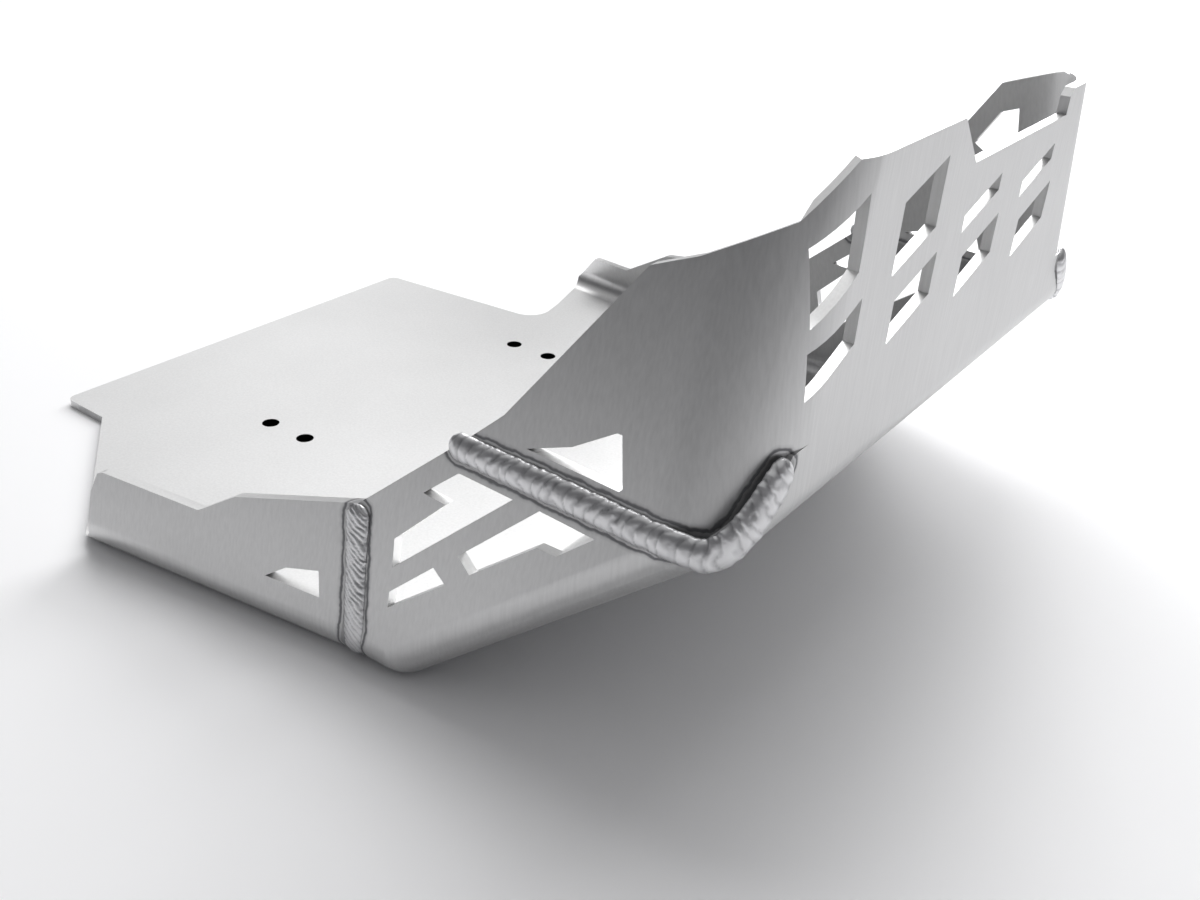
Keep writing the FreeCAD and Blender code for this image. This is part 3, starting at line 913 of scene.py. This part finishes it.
    def _lift(self, canvas: NodeCanvas, given: bpy.types.Node, rise: Socket, across: Socket,
              hump: Socket) -> Socket:
        """Height of each point over the seam, before the bead's taper and swell.

        Args:
            canvas: Helper of the tree.
            given: The tree's input node.
            rise: Share of the height, from -1 under the bead to 1 on top.
            across: Share across the bead, from -1 to 1.
            hump: Height of the ripples, from 0 to 1.

        Returns:
            Socket of the height in metres.
        """
        crown = canvas.math("SUBTRACT", 1.0, canvas.math(
            "POWER", canvas.math("ABSOLUTE", across), self.crown_power))
        wave = canvas.product(canvas.product(hump, crown), given.outputs["Ripple Depth"])
        top = canvas.math("MULTIPLY_ADD", rise, given.outputs["Proud"], wave)
        under = canvas.product(rise, self.sunk * MM)
        is_top = canvas.math("GREATER_THAN", rise, 0.0)
        return canvas.math("ADD", canvas.product(top, is_top),
                           canvas.product(under, canvas.math("SUBTRACT", 1.0, is_top)))

    def _place(self, canvas: NodeCanvas, curve: Socket, share: Socket, reach: Socket,
               lift: Socket) -> Socket:
        """Place of each grid point, off the guide sideways and outwards.

        Args:
            canvas: Helper of the tree.
            curve: Socket of the guide's curve.
            share: Share of the length at each point.
            reach: Distance sideways.
            lift: Distance outwards.

        Returns:
            Socket of the position.
        """
        skin = self._sampled(canvas, curve, share, "FLOAT_VECTOR", "outward")
        sideways = canvas.vector_math("NORMALIZE", canvas.vector_math(
            "CROSS_PRODUCT", skin.outputs["Tangent"], skin.outputs["Value"]).outputs[0]).outputs[0]
        outwards = canvas.vector_math("NORMALIZE", canvas.vector_math(
            "CROSS_PRODUCT", sideways, skin.outputs["Tangent"]).outputs[0]).outputs[0]
        first = canvas.vector_math("SCALE", sideways, None, reach).outputs[0]
        second = canvas.vector_math("SCALE", outwards, None, lift).outputs[0]
        moved = canvas.vector_math("ADD", skin.outputs["Position"], first).outputs[0]
        return canvas.vector_math("ADD", moved, second).outputs[0]


@dataclass(frozen=True)
class SoftBox:
    """Square area lamp, with its place and size in metres and its power in watts."""

    name: str
    place: Triple
    size: float
    power: float

    def build(self, target: Triple) -> None:
        """Add the lamp to the scene.

        Args:
            target: Point that it shines towards.
        """
        data = bpy.data.lights.new(self.name, "AREA")
        data.shape = "SQUARE"
        data.size = self.size
        data.energy = self.power
        lamp = bpy.data.objects.new(self.name, data)
        place = Vector(self.place)
        turn = (Vector(target) - place).to_track_quat("-Z", "Y").to_matrix().to_4x4()
        lamp.matrix_world = Matrix.Translation(place) @ turn
        bpy.context.scene.collection.objects.link(lamp)


@dataclass(frozen=True)
class Studio:
    """Pale floor, soft light from above and behind, and the photograph's viewpoint.

    The eye and the radius of the shade painted on the floor under the bolt holes are in
    millimetres.
    The lamps' target, the floor's reach and the clip distance are in metres.
    """

    focal_px: float = 1266.7
    image_width: float = 1200.0
    sensor: float = 36.0
    clip_start: float = 0.01
    yaw: float = 124.64
    pitch: float = 28.47
    roll: float = 3.03
    eye: Triple = (344.8, -433.1, 300.3)
    floor_reach: float = 6.0
    floor_colour: Triple = (0.93, 0.93, 0.94)
    floor_roughness: float = 0.6
    # painted shade: dark patches on the floor under the bolt holes
    painted_hole_shade_colour: Triple = (0.01, 0.01, 0.01)
    painted_hole_shade_radius: float = 5.0
    room_strength: float = 0.5
    room_rise: float = 0.9
    room_back: float = 0.25
    room_tones: tuple[tuple[float, Triple], ...] = (
        (0.0, (0.24, 0.24, 0.25)), (0.38, (0.24, 0.24, 0.25)), (0.6, (0.85, 0.85, 0.86)),
        (0.9, (1.0, 1.0, 1.0)))
    target: Triple = (0.05, 0.0, 0.08)
    lamps: tuple[SoftBox, ...] = (
        SoftBox("overhead_box", (-0.45, 0.75, 1.8), 1.15, 21.0),
        SoftBox("back_box", (-0.15, 2.0, 1.25), 1.35, 30.0),
        SoftBox("tail_box", (-1.75, 1.0, 0.85), 1.2, 4.4))

    def build(self) -> None:
        """Place the camera, the floor, the world and the lamps."""
        self._camera()
        self._floor()
        self._world()
        for lamp in self.lamps:
            lamp.build(self.target)

    def _camera(self) -> None:
        """Camera at the photograph's angle."""
        yaw, pitch, roll = (math.radians(v) for v in (self.yaw, self.pitch, self.roll))
        forward = Vector((math.cos(yaw) * math.cos(pitch), math.sin(yaw) * math.cos(pitch),
                          -math.sin(pitch)))
        level = Vector((math.sin(yaw), -math.cos(yaw), 0.0))
        upright = level.cross(forward)
        right = level * math.cos(roll) + upright * math.sin(roll)
        up = upright * math.cos(roll) - level * math.sin(roll)
        data = bpy.data.cameras.new("camera")
        data.sensor_width = self.sensor
        data.lens = self.focal_px / self.image_width * self.sensor
        data.clip_start = self.clip_start
        camera = bpy.data.objects.new("camera", data)
        turn = Matrix((right, up, -forward)).transposed().to_4x4()
        camera.matrix_world = Matrix.Translation(Vector(self.eye) * MM) @ turn
        bpy.context.scene.collection.objects.link(camera)
        bpy.context.scene.camera = camera

    def _floor(self) -> None:
        """Large pale floor that takes the plate's shadow, with shade painted dark on it where the
        bolt holes show it.
        """
        mesh = bpy.data.meshes.new("floor")
        far = self.floor_reach
        mesh.from_pydata([(-far, -far, 0.0), (far, -far, 0.0), (far, far, 0.0),
                          (-far, far, 0.0)], [], [(0, 1, 2, 3)])
        material = bpy.data.materials.new("floor_white")
        material.use_nodes = True
        shader = material.node_tree.nodes["Principled BSDF"]
        canvas = NodeCanvas(material.node_tree)
        place = canvas.add("ShaderNodeTexCoord").outputs["Object"]
        # painted shade: the floor is coloured dark under the bolt holes
        painted_hole_shade = hole_mask(canvas, place, self.painted_hole_shade_radius)
        canvas.feed(shader, {
            "Base Color": canvas.blend(painted_hole_shade, self.floor_colour, self.painted_hole_shade_colour),
            "Roughness": self.floor_roughness})
        mesh.materials.append(material)
        floor = bpy.data.objects.new("floor", mesh)
        bpy.context.scene.collection.objects.link(floor)

    def _world(self) -> None:
        """White surroundings for the eye, softer grey light for the surfaces."""
        world = bpy.data.worlds.new("studio")
        bpy.context.scene.world = world
        world.use_nodes = True
        world.node_tree.nodes.clear()
        canvas = NodeCanvas(world.node_tree)
        path = canvas.add("ShaderNodeLightPath")
        seen = canvas.math("MAXIMUM", path.outputs["Is Camera Ray"],
                           path.outputs["Is Transmission Ray"])
        white = canvas.add("ShaderNodeBackground", "seen white", {
            "Color": (1.0, 1.0, 1.0, 1.0), "Strength": 1.0})
        _, y, z = canvas.split(canvas.add("ShaderNodeTexCoord").outputs["Generated"])
        behind = canvas.math("MULTIPLY_ADD", y, self.room_back,
                             canvas.product(z, self.room_rise), clamp=True)
        room = canvas.add("ShaderNodeBackground", "room light", {
            "Strength": self.room_strength,
            "Color": canvas.ramp(behind, self.room_tones, "room tone")})
        mix = canvas.add("ShaderNodeMixShader", inputs={
            "Fac": seen, 1: room.outputs["Background"], 2: white.outputs["Background"]})
        canvas.add("ShaderNodeOutputWorld", inputs={"Surface": mix.outputs["Shader"]})


def main() -> None:
    """Build the plate, its weld beads and the studio."""
    logging.basicConfig(level=logging.INFO)
    bpy.context.scene.view_settings.view_transform = "Standard"
    Studio().build()
    LOG.info("studio placed")
    sheet = FoldedSheet().build()
    LOG.info("%s: %d faces", sheet.name, len(sheet.data.polygons))
    metal = WeldMetal().build()
    for route in WELDS:
        for side in Side:
            bead = WeldBead(route, side, metal).build()
            LOG.info("%s: %d faces", bead.name, len(bead.data.polygons))


if __name__ == "__main__":
    main()
